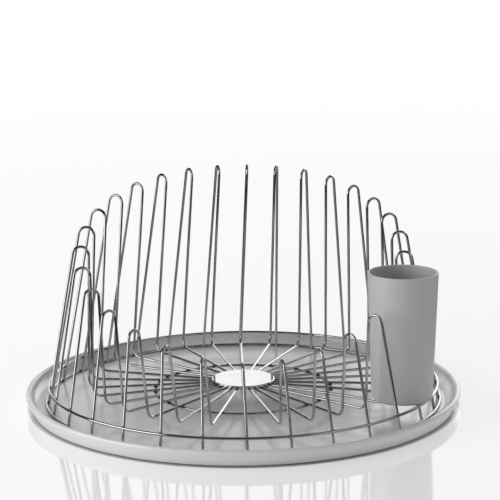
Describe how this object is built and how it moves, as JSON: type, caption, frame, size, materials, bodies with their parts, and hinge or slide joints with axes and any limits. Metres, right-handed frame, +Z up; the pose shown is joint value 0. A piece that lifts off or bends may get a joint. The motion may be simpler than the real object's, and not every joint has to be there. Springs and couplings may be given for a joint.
{
  "type": "dish drainer",
  "caption": "Round wire dish drainer in a shallow drip tray: hairpin wires climb from a low front to a high back, with a tapered cutlery cup in a flat bay.",
  "frame": {"origin": "middle of the tray's underside, on the table", "axes": "+Z up; -Y towards the low front of the rack; +X towards the side with the cutlery cup"},
  "size_m": [0.4, 0.4, 0.1995],
  "materials": {
    "tray_plastic": "light grey, satin gloss",
    "cup_plastic": "mid grey, satin",
    "steel_wire": "polished stainless wire",
    "steel_disc": "polished stainless sheet"
  },
  "bodies": {
    "tray": {"tray": "tray_plastic"},
    "rack": {"lower_ring": "steel_wire", "upper_ring": "steel_wire", "inner_ring": "steel_wire", "hub_disc": "steel_disc", "hairpin_01": "steel_wire", "hairpin_02": "steel_wire", "hairpin_03": "steel_wire", "hairpin_04": "steel_wire", "hairpin_05": "steel_wire", "hairpin_08": "steel_wire", "hairpin_09": "steel_wire", "hairpin_10": "steel_wire", "hairpin_11": "steel_wire", "hairpin_12": "steel_wire", "hairpin_13": "steel_wire", "hairpin_14": "steel_wire", "hairpin_15": "steel_wire", "hairpin_16": "steel_wire", "hairpin_17": "steel_wire", "hairpin_18": "steel_wire", "hairpin_19": "steel_wire", "hairpin_20": "steel_wire", "hairpin_21": "steel_wire", "hairpin_22": "steel_wire", "hairpin_23": "steel_wire", "hairpin_24": "steel_wire", "hairpin_25": "steel_wire", "hairpin_26": "steel_wire", "hairpin_27": "steel_wire", "hairpin_28": "steel_wire", "hairpin_29": "steel_wire", "hairpin_30": "steel_wire", "bay_wire_06": "steel_wire", "bay_wire_07": "steel_wire"},
    "cutlery_cup": {"cutlery_cup": "cup_plastic"}
  },
  "joints": [
    {"name": "rack_lift", "type": "slide", "parent": "tray", "child": "rack", "axis": [0, 0, 1], "range_m": [0, 0.1]},
    {"name": "cup_lift", "type": "slide", "parent": "rack", "child": "cutlery_cup", "axis": [0, 0, 1], "range_m": [0, 0.2]}
  ]
}
